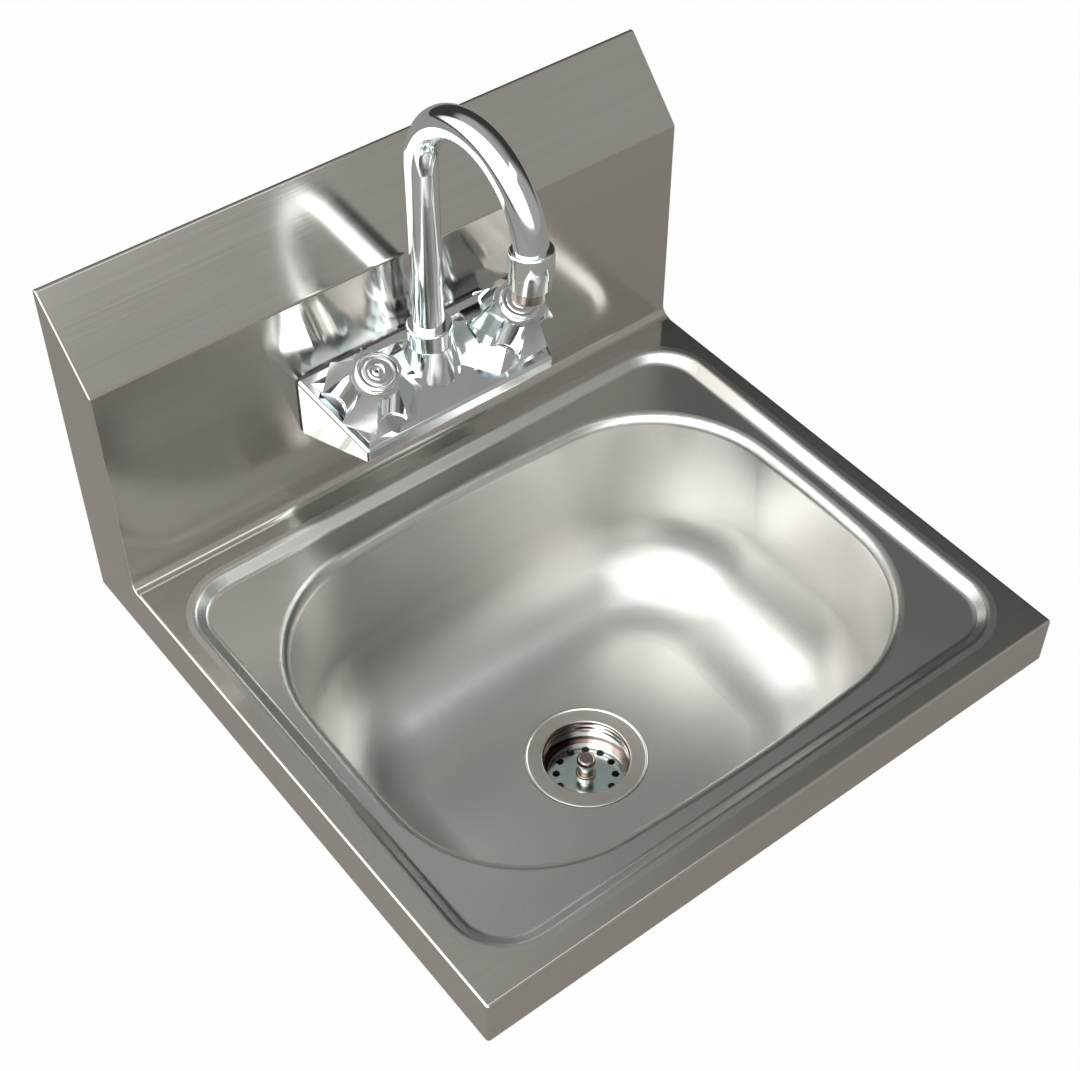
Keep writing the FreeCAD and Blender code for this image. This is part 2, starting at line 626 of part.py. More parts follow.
def strainer_plate():
    edge = STRAINER_WIDTH / 2
    plate = turned([(POST_SHANK / 2, STRAINER_FOOT, 0), (edge, STRAINER_FOOT, 0),
                    (edge, STRAINER_TOP, STRAINER_PLATE / 3), (POST_SHANK / 2, STRAINER_TOP, 0)])
    hole = ring(0, STRAINER_HOLE / 2, STRAINER_FOOT - OVERRUN, STRAINER_TOP + OVERRUN)
    holes = []
    for i in range(STRAINER_HOLES):
        turn = 2 * math.pi * i / STRAINER_HOLES + math.radians(STRAINER_SET_DEGREES)
        holes.append(hole.translated(vec(math.cos(turn), math.sin(turn), 0) * (STRAINER_HOLE_CIRCLE / 2)))
    return plate.cut(holes)


def strainer_post():
    foot = STRAINER_FOOT - POST_NUT_HEIGHT
    collar_top = STRAINER_TOP + POST_COLLAR_HEIGHT
    top = STRAINER_TOP + POST_HEIGHT
    return turned([(0, foot, 0), (POST_SHANK / 2, foot, 0), (POST_SHANK / 2, STRAINER_TOP, 0),
                   (POST_COLLAR / 2, STRAINER_TOP, 0), (POST_COLLAR / 2, collar_top, POST_ROUNDING),
                   (POST_NECK / 2, collar_top, 0), (POST_NECK / 2, top - POST_KNOB_HEIGHT, 0),
                   (POST_KNOB / 2, top - POST_KNOB_HEIGHT, POST_ROUNDING),
                   (POST_KNOB / 2, top, 2 * POST_ROUNDING), (0, top, 0)])


def strainer_nut():
    return hexagon(POST_NUT, STRAINER_FOOT - POST_NUT_HEIGHT, STRAINER_FOOT).cut(
        ring(0, POST_SHANK / 2, STRAINER_FOOT - POST_NUT_HEIGHT - OVERRUN, STRAINER_FOOT + OVERRUN))


# Faucet body and its fixings on the splash

def on_valve(shape, side):
    """Stand a piece drawn along Z on the body's sloped top, on one side of the spout."""
    foot = vec(side * VALVE_CENTRES / 2, BODY_BACK - VALVE_SETBACK, VALVE_FOOT)
    tilt = FreeCAD.Rotation(vec(1, 0, 0), math.degrees(BODY_SLOPE))
    return shape.transformed(FreeCAD.Placement(foot, tilt).toMatrix(), True)


def at_hub(shape):
    return shape.translated(vec(0, HUB_AXIS, 0))


def polygon(points):
    return Part.makePolygon(points + points[:1])


def body_wedge():
    """Tapered block, deep at the splash and thin at its front edge, with soft edges."""
    def end(half_width, y, low, top):
        return polygon([vec(-half_width, y, low), vec(half_width, y, low),
                        vec(half_width, y, top), vec(-half_width, y, top)])
    wedge = Part.makeLoft([end(BODY_BACK_WIDTH / 2, BODY_BACK, BODY_BACK_LOW, BODY_BACK_TOP),
                           end(BODY_FRONT_WIDTH / 2, BODY_BACK - BODY_DEPTH, BODY_FRONT_LOW, BODY_FRONT_TOP)],
                          True, True)
    return round_off(wedge, BODY_ROUNDING, lambda p: not near(p.y, BODY_BACK))


def valve_platform():
    """Faceted rise from the body's top to a round seat under the handle, drawn for the right side."""
    behind = VALVE_SETBACK / math.cos(BODY_SLOPE)
    before = (BODY_DEPTH - VALVE_SETBACK) / math.cos(BODY_SLOPE)
    foot = []
    seat = []
    for share_x, share_y in PLATFORM_FOOT_SHARES:
        run = behind if share_y > 0 else before
        place = vec(share_x * VALVE_CENTRES / 2, share_y * run, -PLATFORM_SINK)
        foot.append(place)
        seat.append(vec(place.x, place.y, 0).normalize() * PLATFORM_TOP_RADIUS + vec(0, 0, PLATFORM_HEIGHT))
    return Part.makeLoft([polygon(foot), polygon(seat)], True, True)


def faucet_body():
    body = body_wedge()
    platform = valve_platform()
    mirrored = platform.mirror(vec(0, 0, 0), vec(1, 0, 0))
    hub = turned([(0, HUB_BORE_FLOOR, 0), (HUB_BASE_RADIUS, HUB_BORE_FLOOR, 0), (HUB_TOP_RADIUS, HUB_TOP, 0),
                  (NECK_RADIUS, HUB_TOP, 0), (NECK_RADIUS, NECK_TOP, 0), (0, NECK_TOP, 0)])
    body = body.fuse([on_valve(platform, 1), on_valve(mirrored, -1), at_hub(hub)]).removeSplitter()
    valve_bore = ring(0, VALVE_BORE / 2, -VALVE_SEAT_DEPTH, PLATFORM_HEIGHT + OVERRUN)
    chamber = ring(0, INLET_CHAMBER / 2, -VALVE_SEAT_DEPTH - INLET_CHAMBER_DEPTH, OVERRUN - VALVE_SEAT_DEPTH)
    cuts = [at_hub(ring(0, TUBE_RADIUS + SWIVEL_CLEARANCE, HUB_BORE_FLOOR, NECK_TOP + OVERRUN))]
    for side in (-1, 1):
        x = side * VALVE_CENTRES / 2
        cuts.append(on_valve(valve_bore.fuse(chamber), side))
        cuts.append(rod(SHANK_DIAMETER / 2, vec(x, BODY_BACK + OVERRUN, SHANK_HEIGHT),
                        vec(x, BODY_BACK - SHANK_SOCKET, SHANK_HEIGHT)))
        cuts.append(rod(PASSAGE_DIAMETER / 2, vec(x, BODY_BACK, SHANK_HEIGHT),
                        vec(x, BODY_BACK - VALVE_SETBACK + INLET_CHAMBER / 2, SHANK_HEIGHT)))
    window = MOVING_DISC_FOOT - DISC_GAP
    channel_y = BODY_BACK - VALVE_SETBACK - window * math.sin(BODY_SLOPE)
    channel_z = VALVE_FOOT + window * math.cos(BODY_SLOPE)
    cuts.append(rod(BONNET_WINDOW / 2, vec(-VALVE_CENTRES / 2, channel_y, channel_z),
                    vec(VALVE_CENTRES / 2, channel_y, channel_z)))
    return body.cut(cuts)


def faucet_gasket():
    half_width = BODY_BACK_WIDTH / 2 - GASKET_MARGIN
    plate = Part.makeBox(2 * half_width, GASKET_THICKNESS, BODY_BACK_TOP - BODY_BACK_LOW - 2 * GASKET_MARGIN,
                         vec(-half_width, BODY_BACK, BODY_BACK_LOW + GASKET_MARGIN))
    return plate.cut([along_shank(side, SHANK_DIAMETER / 2, BODY_BACK - OVERRUN, SPLASH_FACE + OVERRUN)
                      for side in (-1, 1)])


def along_shank(side, radius, y_from, y_to):
    x = side * VALVE_CENTRES / 2
    return rod(radius, vec(x, y_from, SHANK_HEIGHT), vec(x, y_to, SHANK_HEIGHT))


def shank(side):
    """Nipple from the body through the splash, relieved between its locknut thread and its supply thread."""
    front = BODY_BACK - SHANK_SOCKET
    bore = along_shank(side, SHANK_BORE / 2, front - OVERRUN, SHANK_END + OVERRUN)
    relief = along_shank(side, SHANK_DIAMETER / 2 + OVERRUN, RELIEF_FRONT, RELIEF_BACK).cut(
        along_shank(side, SHANK_DIAMETER / 2 - SHANK_RELIEF, RELIEF_FRONT, RELIEF_BACK))
    return along_shank(side, SHANK_DIAMETER / 2, front, SHANK_END).cut([bore, relief])


def shank_washers():
    front = SPLASH_FACE + SHEET
    return Part.makeCompound([along_shank(side, SHANK_WASHER_WIDTH / 2, front, LOCKNUT_FRONT).cut(
        along_shank(side, SHANK_DIAMETER / 2, front - OVERRUN, SHANK_END)) for side in (-1, 1)])


def shank_locknuts():
    nuts = []
    for side in (-1, 1):
        nut = hexagon(SHANK_LOCKNUT_FLATS, 0, SHANK_LOCKNUT_HEIGHT)
        nut.rotate(vec(0, 0, 0), vec(1, 0, 0), -90)
        nut.translate(vec(side * VALVE_CENTRES / 2, LOCKNUT_FRONT, SHANK_HEIGHT))
        nuts.append(nut.cut(along_shank(side, SHANK_DIAMETER / 2, LOCKNUT_FRONT - OVERRUN, SHANK_END)))
    return Part.makeCompound(nuts)


# Quarter-turn valves, drawn along their axis with the body's sloped top at zero

def seat_seal():
    return ring(VALVE_BORE / 2 - BONNET_WALL - SEAT_SEAL_WALL, VALVE_BORE / 2 - BONNET_WALL,
                -VALVE_SEAT_DEPTH, SEAL_TOP)


def ported_disc(low, high, radius):
    """Ceramic disc with two opposite water ports."""
    ports = [ring(0, DISC_PORT / 2, low - OVERRUN, high + OVERRUN).translated(vec(x, 0, 0))
             for x in (-DISC_PORT_CENTRES / 2, DISC_PORT_CENTRES / 2)]
    return ring(0, radius, low, high).cut(ports)


def fixed_disc():
    return ported_disc(SEAL_TOP, FIXED_DISC_TOP, VALVE_BORE / 2 - BONNET_WALL)


def moving_disc():
    return ported_disc(MOVING_DISC_FOOT, MOVING_DISC_TOP, DISC_DIAMETER / 2)


def bonnet():
    """Cartridge shell that screws into the body and guides the stem."""
    cavity = VALVE_BORE / 2 - BONNET_WALL
    stem_hole = STEM_DIAMETER / 2 + STEM_CLEARANCE
    neck_foot = PLATFORM_HEIGHT + BONNET_FLANGE
    shell = turned([(cavity, -VALVE_SEAT_DEPTH, 0), (VALVE_BORE / 2, -VALVE_SEAT_DEPTH, 0),
                    (VALVE_BORE / 2, PLATFORM_HEIGHT, 0), (BONNET_FLANGE_WIDTH / 2, PLATFORM_HEIGHT, 0),
                    (BONNET_FLANGE_WIDTH / 2, neck_foot, 0), (BONNET_NECK / 2, neck_foot, 0),
                    (BONNET_NECK / 2, BONNET_TOP, 0), (stem_hole, BONNET_TOP, 0),
                    (stem_hole, BONNET_SHOULDER, 0), (cavity, BONNET_SHOULDER, 0)])
    window = MOVING_DISC_FOOT - DISC_GAP
    return shell.cut(rod(BONNET_WINDOW / 2, vec(-VALVE_BORE, 0, window), vec(VALVE_BORE, 0, window)))


def stem():
    """Spindle with a foot that drives the moving disc and a tapped hole for the handle's screw."""
    shoulder = BONNET_SHOULDER - STEM_END_PLAY
    tapped = HANDLE_SCREW / 2
    hole_foot = SCREW_SEAT - HANDLE_SCREW_LENGTH
    return turned([(0, MOVING_DISC_TOP, 0), (DISC_DIAMETER / 2, MOVING_DISC_TOP, 0),
                   (DISC_DIAMETER / 2, shoulder, 0), (STEM_DIAMETER / 2, shoulder, 0),
                   (STEM_DIAMETER / 2, STEM_TOP, 0), (tapped, STEM_TOP, 0), (tapped, hole_foot, 0),
                   (0, hole_foot, 0)])


def handle(set_degrees):
    """Four flat-faced lobes with hollow flutes between them, over a round well for the screw."""
    band_top = HANDLE_FOOT + HANDLE_BAND

    def square(radius, height):
        reach = radius - LOBE_FLAT
        return polygon([vec(x * reach, y * reach, height) for x, y in ((-1, -1), (1, -1), (1, 1), (-1, 1))])

    def lobes(low, high, low_radius, high_radius, flute_offset):
        round_form = ring(0, low_radius, low, high)
        if low_radius != high_radius:
            round_form = Part.makeCone(low_radius, high_radius, high - low, vec(0, 0, low))
        faces = Part.makeLoft([square(low_radius, low), square(high_radius, high)], True, True)
        low_flute = vec(low_radius + FLUTE_BASE_OFFSET, 0, low)
        high_flute = vec(high_radius + flute_offset, 0, high)
        overrun = (high_flute - low_flute).normalize() * OVERRUN
        flute = rod(FLUTE_RADIUS, low_flute - overrun, high_flute + overrun)
        flutes = []
        for i in range(LOBES):
            cut = flute.copy()
            cut.rotate(vec(0, 0, 0), vec(0, 0, 1), 360 / LOBES * (i + 1 / 2))
            flutes.append(cut)
        return round_form.common(faces).cut(flutes)

    band = lobes(HANDLE_FOOT, band_top, HANDLE_BASE_RADIUS, HANDLE_BASE_RADIUS, FLUTE_BASE_OFFSET)
    taper = lobes(band_top, HANDLE_TOP, HANDLE_BASE_RADIUS, HANDLE_TOP_RADIUS, FLUTE_TOP_OFFSET)
    roof = BONNET_TOP + HANDLE_ROOF_CLEARANCE
    hollows = [ring(0, BONNET_FLANGE_WIDTH / 2 + HANDLE_RECESS_CLEARANCE, HANDLE_FOOT - OVERRUN, roof),
               ring(0, STEM_DIAMETER / 2, roof - OVERRUN, STEM_TOP),
               ring(0, HANDLE_SCREW / 2, STEM_TOP - OVERRUN, SCREW_SEAT + OVERRUN),
               ring(0, HANDLE_WELL / 2, SCREW_SEAT, HANDLE_TOP + OVERRUN)]
    knob = band.fuse(taper).removeSplitter().cut(hollows)
    knob.rotate(vec(0, 0, 0), vec(0, 0, 1), set_degrees)
    return knob


def handle_screw():
    foot = SCREW_SEAT - HANDLE_SCREW_LENGTH
    head_top = SCREW_SEAT + HANDLE_SCREW_HEAD_HEIGHT
    return turned([(0, foot, 0), (HANDLE_SCREW / 2, foot, 0), (HANDLE_SCREW / 2, SCREW_SEAT, 0),
                   (HANDLE_SCREW_HEAD / 2, SCREW_SEAT, 0), (HANDLE_SCREW_HEAD / 2, head_top, 0),
                   (0, head_top, 0)])


def button():
    """Round cap with a ring turned in its face, plugged into the handle's well."""
    foot = HANDLE_TOP - BUTTON_PLUG_DEPTH
    top = HANDLE_TOP + BUTTON_HEIGHT
    groove = BUTTON_GROOVE_DIAMETER / 2
    return turned([(0, foot, 0), (HANDLE_WELL / 2, foot, 0), (HANDLE_WELL / 2, HANDLE_TOP, 0),
                   (BUTTON_DIAMETER / 2, HANDLE_TOP, 0),
                   (BUTTON_DIAMETER / 2, top, BUTTON_ROUNDING), (groove + BUTTON_GROOVE / 2, top, 0),
                   (groove, top - BUTTON_GROOVE / 2, 0), (groove - BUTTON_GROOVE / 2, top, 0), (0, top, 0)])


# Gooseneck, drawn about the riser's axis, and its nozzle, drawn down from the end of the bend

def spout_nut():
    top = HUB_TOP + SPOUT_NUT_HEIGHT
    throat = TUBE_RADIUS + SWIVEL_CLEARANCE
    return turned([(NECK_RADIUS, HUB_TOP, 0), (SPOUT_NUT_RADIUS, HUB_TOP, SPOUT_NUT_ROUNDING / 2),
                   (SPOUT_NUT_RADIUS, top, SPOUT_NUT_ROUNDING), (throat, top, 0),
                   (throat, SPOUT_NUT_ROOF, 0), (NECK_RADIUS, SPOUT_NUT_ROOF, 0)])


def spout_ferrule():
    return ring(TUBE_RADIUS, NECK_RADIUS - SWIVEL_CLEARANCE, FERRULE_FOOT, FERRULE_FOOT + FERRULE_HEIGHT)


def seal_heights():
    """Middle heights of the two seals, spaced up from the foot of the tube."""
    return [TUBE_FOOT + SEAL_SPACING * (i + 1) for i in range(SEALS)]


def bend(radius, from_degrees, to_degrees):
    """Round bar along part of the gooseneck's bend, measured from the top of the riser."""
    centre = vec(0, ARC_CENTRE, ARC_CENTRE_HEIGHT)
    start = vec(0, ARC_CENTRE + ARC_RADIUS, ARC_CENTRE_HEIGHT)
    disc = Part.Face(Part.Wire(Part.makeCircle(radius, start, vec(0, 0, 1))))
    disc.rotate(centre, vec(1, 0, 0), from_degrees)
    return disc.revolve(centre, vec(1, 0, 0), to_degrees - from_degrees)


def at_nozzle(shape):
    """Hang a piece drawn up along Z down from the end of the bend."""
    turn = math.radians(ARC_DEGREES)
    end = vec(0, ARC_CENTRE + ARC_RADIUS * math.cos(turn), ARC_CENTRE_HEIGHT + ARC_RADIUS * math.sin(turn))
    lean = FreeCAD.Rotation(vec(1, 0, 0), ARC_DEGREES)
    return shape.transformed(FreeCAD.Placement(end, lean).toMatrix(), True)


def neck_bar(radius):
    """Solid bar of the gooseneck's full run: riser, bend and straight end."""
    riser = at_hub(ring(0, radius, TUBE_FOOT, ARC_CENTRE_HEIGHT))
    end = at_nozzle(ring(0, radius, 0, NOZZLE_STUB))
    return riser.fuse([bend(radius, 0, ARC_DEGREES), end])


def spout_tube():
    grooves = [at_hub(ring(TUBE_RADIUS - SEAL_THICKNESS, TUBE_RADIUS + OVERRUN,
                           height - SEAL_THICKNESS / 2, height + SEAL_THICKNESS / 2))
               for height in seal_heights()]
    return neck_bar(TUBE_RADIUS).cut([neck_bar(TUBE_RADIUS - TUBE_WALL)] + grooves)


def spout_seals():
    return Part.makeCompound([at_hub(Part.makeTorus(TUBE_RADIUS - SEAL_THICKNESS / 2, SEAL_THICKNESS / 2,
                                                    vec(0, 0, height)))
                              for height in seal_heights()])


def aerator_housing():
    """Sleeve over the end of the bend, a barrel and a narrower tip, with a lip that holds the insert."""
    barrel_radius = NOZZLE_RADIUS - NOZZLE_BARREL_STEP
    tip_radius = NOZZLE_RADIUS - NOZZLE_TIP_STEP
    mouth_radius = TUBE_RADIUS - NOZZLE_LIP
    shell = turned([(TUBE_RADIUS, 0, 0), (NOZZLE_RADIUS, 0, 0),
                    (NOZZLE_RADIUS, NOZZLE_COLLAR, NOZZLE_BARREL_STEP), (barrel_radius, NOZZLE_COLLAR, 0),
                    (barrel_radius, NOZZLE_BARREL_FOOT, NOZZLE_BARREL_STEP),
                    (tip_radius, NOZZLE_BARREL_FOOT, 0), (tip_radius, NOZZLE_FOOT, NOZZLE_ROUNDING),
                    (mouth_radius, NOZZLE_FOOT, 0),
                    (mouth_radius, INSERT_FOOT, 0), (TUBE_RADIUS, INSERT_FOOT, 0)])
    sleeve_start = ARC_DEGREES - NOZZLE_SLEEVE_DEGREES
    sleeve = bend(NOZZLE_RADIUS, sleeve_start, ARC_DEGREES)
    start = math.radians(sleeve_start)
    top = vec(0, ARC_CENTRE + ARC_RADIUS * math.cos(start), ARC_CENTRE_HEIGHT + ARC_RADIUS * math.sin(start))
    top_face = min(sleeve.Faces, key=lambda face: face.CenterOfMass.distanceToPoint(top))
    sleeve = sleeve.makeFillet(NOZZLE_ROUNDING, top_face.Edges)
    sleeve = sleeve.cut(bend(TUBE_RADIUS, 0, ARC_DEGREES))
    return sleeve.fuse(at_nozzle(shell)).removeSplitter()


def aerator_washer():
    inside = TUBE_RADIUS - NOZZLE_WASHER_WALL
    return at_nozzle(ring(inside, TUBE_RADIUS, NOZZLE_STUB, NOZZLE_STUB + NOZZLE_WASHER))


def aerator_insert():
    """Perforated core that breaks the water into a soft stream."""
    top = NOZZLE_STUB + NOZZLE_WASHER
    core = ring(0, TUBE_RADIUS, top, INSERT_FOOT)
    hole = ring(0, INSERT_HOLE / 2, top - OVERRUN, INSERT_FOOT + OVERRUN)
    holes = []
    for diameter, count in zip(INSERT_RING_DIAMETERS, INSERT_RING_HOLES):
        for i in range(count):
            turn = 2 * math.pi * i / count
            holes.append(hole.translated(vec(math.cos(turn), math.sin(turn), 0) * (diameter / 2)))
    return at_nozzle(core.cut(holes))


def all_pieces():
    pieces = {
        "deck_splash": deck_splash(),
        "left_end_panel": end_panel(-1),
        "right_end_panel": end_panel(1),
        "bowl": bowl(),
        "wall_bracket": wall_bracket(),
        "drain_cup": at_drain(drain_cup()),
        "drain_gasket": at_drain(ring(CUP_RADIUS, DRAIN_RING_WIDTH / 2, GASKET_FOOT, CLAMP_TOP)),
        "drain_friction_ring": at_drain(ring(CUP_RADIUS, DRAIN_RING_WIDTH / 2, FRICTION_FOOT, GASKET_FOOT)),
        "drain_locknut": at_drain(drain_locknut()),
        "tailpiece_washer": at_drain(ring(DRAIN_SHANK_BORE / 2, DRAIN_SHANK / 2, WASHER_FOOT, SHANK_FOOT)),
        "tailpiece": at_drain(tailpiece()),
        "tailpiece_nut": at_drain(tailpiece_nut()),
        "strainer_plate": at_drain(strainer_plate()),
        "strainer_post": at_drain(strainer_post()),
        "strainer_nut": at_drain(strainer_nut()),
        "faucet_body": faucet_body(),
        "faucet_gasket": faucet_gasket(),
        "hot_shank": shank(-1),
        "cold_shank": shank(1),
        "shank_washers": shank_washers(),
        "shank_locknuts": shank_locknuts(),
        "spout_nut": at_hub(spout_nut()),
        "spout_tube": spout_tube(),
        "spout_ferrule": at_hub(spout_ferrule()),
        "spout_seals": spout_seals(),
        "aerator_housing": aerator_housing(),
        "aerator_washer": aerator_washer(),
        "aerator_insert": aerator_insert(),
    }
    sides = (("hot", -1, HOT_HANDLE_SET_DEGREES), ("cold", 1, COLD_HANDLE_SET_DEGREES))
    for name, side, set_degrees in sides:
        pieces[name + "_seat_seal"] = on_valve(seat_seal(), side)
        pieces[name + "_fixed_disc"] = on_valve(fixed_disc(), side)
        pieces[name + "_moving_disc"] = on_valve(moving_disc(), side)
        pieces[name + "_bonnet"] = on_valve(bonnet(), side)
        pieces[name + "_stem"] = on_valve(stem(), side)
        pieces[name + "_handle"] = on_valve(handle(set_degrees), side)
        pieces[name + "_handle_screw"] = on_valve(handle_screw(), side)
        pieces[name + "_button"] = on_valve(button(), side)
    return pieces


os.makedirs("parts", exist_ok=True)
for piece_name, piece in all_pieces().items():
    hung = piece.translated(vec(0, 0, -SCREW_LINE))
    solids = hung.Solids
    volumes = " ".join(f"{solid.Volume:.1f}" for solid in solids)
    print(piece_name, "valid" if hung.isValid() else "INVALID", len(solids), "solid(s), volume", volumes)
    shape = solids[0] if len(solids) == 1 else Part.makeCompound(solids)
    shape.exportStep(f"parts/{piece_name}.step")
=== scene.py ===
import json
import math

import bpy
from mathutils import Matrix, Vector


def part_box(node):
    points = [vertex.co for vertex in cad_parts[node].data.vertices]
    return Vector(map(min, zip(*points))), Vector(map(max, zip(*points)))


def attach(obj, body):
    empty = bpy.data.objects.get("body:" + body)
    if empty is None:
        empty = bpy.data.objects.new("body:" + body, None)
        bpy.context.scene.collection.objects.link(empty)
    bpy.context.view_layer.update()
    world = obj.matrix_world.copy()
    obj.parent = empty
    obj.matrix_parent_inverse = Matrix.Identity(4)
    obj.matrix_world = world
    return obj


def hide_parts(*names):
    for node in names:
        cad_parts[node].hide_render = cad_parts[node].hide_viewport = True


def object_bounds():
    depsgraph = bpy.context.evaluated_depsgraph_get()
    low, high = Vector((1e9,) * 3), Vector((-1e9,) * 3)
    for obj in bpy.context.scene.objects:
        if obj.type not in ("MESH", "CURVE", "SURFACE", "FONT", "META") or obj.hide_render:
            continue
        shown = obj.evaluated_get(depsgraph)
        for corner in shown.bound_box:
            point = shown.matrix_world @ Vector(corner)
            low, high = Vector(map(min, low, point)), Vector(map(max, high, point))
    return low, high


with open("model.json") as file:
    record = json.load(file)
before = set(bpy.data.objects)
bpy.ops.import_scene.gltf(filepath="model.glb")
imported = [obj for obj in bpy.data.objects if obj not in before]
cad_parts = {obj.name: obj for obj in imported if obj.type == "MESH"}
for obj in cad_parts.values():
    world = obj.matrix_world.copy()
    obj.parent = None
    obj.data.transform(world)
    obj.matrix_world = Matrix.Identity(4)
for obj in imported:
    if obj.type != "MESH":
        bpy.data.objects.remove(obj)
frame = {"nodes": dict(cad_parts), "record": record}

cad_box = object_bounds()


# Deck, aprons and splash: one stainless sheet, folded and coved, with a plate welded on at each end.
# The mill's brush marks run along the sheet from left to right.
# The welded edges are ground and polished.

class Socket:
    """One output in a node tree. Arithmetic on it adds Math nodes."""

    def __init__(self, output):
        self.output = output

    def feed(self, sockets):
        """Set or link sockets of the node that this output belongs to."""
        for name, value in sockets.items():
            target = self.output.node.inputs[name]
            if isinstance(value, Socket):
                self.output.id_data.links.new(value.output, target)
            else:
                target.default_value = value

    def node(self, kind, settings=None, sockets=None, output=0):
        """Add a node to the same tree, its settings first, and give back one of its outputs."""
        made = self.output.id_data.nodes.new(kind)
        for name, value in (settings or {}).items():
            setattr(made, name, value)
        result = Socket(made.outputs[output])
        result.feed(sockets or {})
        return result

    def math(self, operation, a, b):
        """One Math node on two values."""
        return self.node("ShaderNodeMath", {"operation": operation}, {0: a, 1: b})

    def __add__(self, other):
        return self.math("ADD", self, other)

    def __sub__(self, other):
        return self.math("SUBTRACT", self, other)

    def __rsub__(self, other):
        return self.math("SUBTRACT", other, self)

    def __mul__(self, other):
        return self.math("MULTIPLY", self, other)

    __radd__ = __add__
    __rmul__ = __mul__


def new_finish(name, values):
    """A material whose surface sockets start at the given values."""
    material = bpy.data.materials.new(name)
    material.use_nodes = True
    surface = Socket(material.node_tree.nodes["Principled BSDF"].outputs[0])
    surface.feed(values)
    return material, surface


def dress(material, *nodes):
    """Give a finish to pieces that come from the frame."""
    for name in nodes:
        frame["nodes"][name].material_slots[0].material = material


def place_in(surface):
    """Where a point lies on the piece at rest, in metres."""
    return surface.node("ShaderNodeTexCoord", output="Object")


def noise_over(surface, per_metre, detail=2.0):
    """Soft noise from 0 to 1, with its own number of waves per metre along X, Y and Z."""
    spread = surface.node("ShaderNodeVectorMath", {"operation": "MULTIPLY"},
                          {0: place_in(surface), 1: per_metre})
    return surface.node("ShaderNodeTexNoise", {}, {"Vector": spread, "Scale": 1.0, "Detail": detail})


# A Mix node has sockets for numbers and vectors too, so its colour sockets go by their places.
MIX_SHARE = 0
MIX_FIRST_COLOUR = 6
MIX_SECOND_COLOUR = 7
MIX_COLOUR_RESULT = 2


def blend_colours(surface, share, first, second):
    """The first colour at share 0, the second at share 1."""
    return surface.node("ShaderNodeMix", {"data_type": "RGBA"},
                        {MIX_SHARE: share, MIX_FIRST_COLOUR: first, MIX_SECOND_COLOUR: second},
                        output=MIX_COLOUR_RESULT)


def bumped(surface, height, strength, distance):
    """A normal that follows a height, whose 1 stands for a distance in metres."""
    return surface.node("ShaderNodeBump", {},
                        {"Height": height, "Strength": strength, "Distance": distance})


SHEET_DARK = (0.55, 0.53, 0.50, 1)
SHEET_LIGHT = (0.68, 0.657, 0.625, 1)
FINE_SHARE = 0.4
LONG_SHARE = 0.4
CLOUD_SHARE = 0.2
LONG_MARK_DEPTH = 0.5
SHEET_ROUGHNESS = 0.10
FINE_MARKS_ROUGHEN = 0.05
CLOUDS_ROUGHEN = 0.04
sheet_finish, sheet = new_finish("brushed_sheet", {
    "Metallic": 1.0, "Anisotropic": 0.8, "Anisotropic Rotation": 0.25})
fine_marks = noise_over(sheet, per_metre=(6, 900, 900), detail=3.0)
long_marks = noise_over(sheet, per_metre=(3, 160, 160))
clouds = noise_over(sheet, per_metre=(9, 9, 9))
sheet_share = fine_marks * FINE_SHARE + long_marks * LONG_SHARE + clouds * CLOUD_SHARE
sheet_relief = fine_marks + long_marks * LONG_MARK_DEPTH
sheet.feed({
    "Base Color": blend_colours(sheet, sheet_share, SHEET_DARK, SHEET_LIGHT),
    "Roughness": SHEET_ROUGHNESS + fine_marks * FINE_MARKS_ROUGHEN + clouds * CLOUDS_ROUGHEN,
    "Normal": bumped(sheet, sheet_relief, strength=0.04, distance=0.0004),
})
dress(sheet_finish, "deck_splash", "left_end_panel", "right_end_panel")


# Wall bracket: a strip of galvanised steel, folded to a lip and screwed to the wall behind the splash.
# The rear hem of the splash hangs on the lip. The zinc coat has set in pale and dark patches.

def mottle(surface, per_metre, detail, dark, light, smooth, rough):
    """Let one soft noise carry the colour from dark to light and the roughness from smooth to rough.

    The noise is given back.
    """
    grain = noise_over(surface, per_metre, detail)
    surface.feed({
        "Base Color": blend_colours(surface, grain, dark, light),
        "Roughness": smooth + grain * (rough - smooth),
    })
    return grain


bracket_finish, bracket = new_finish("galvanised_strip", {"Metallic": 1.0})
mottle(bracket, per_metre=(90, 90, 90), detail=4.0,
       dark=(0.46, 0.48, 0.50, 1), light=(0.66, 0.68, 0.70, 1), smooth=0.30, rough=0.50)
dress(bracket_finish, "wall_bracket")


# Bowl: one stainless sheet, drawn deep in a press and welded into the deck.
# A polishing wheel leaves it satin, with faint level marks on the walls where the metal was drawn.
# The ledge round its rim is polished a little further.
UP = (0, 0, 1)


def along(surface, place, direction):
    """How far a place lies along a direction."""
    return surface.node("ShaderNodeVectorMath", {"operation": "DOT_PRODUCT"},
                        {0: place, 1: direction}, output="Value")


def between(surface, value, low, high):
    """0 below one limit, 1 above the other, smooth in between."""
    return surface.node("ShaderNodeMapRange", {"interpolation_type": "SMOOTHSTEP"},
                        {"Value": value, "From Min": low, "From Max": high})


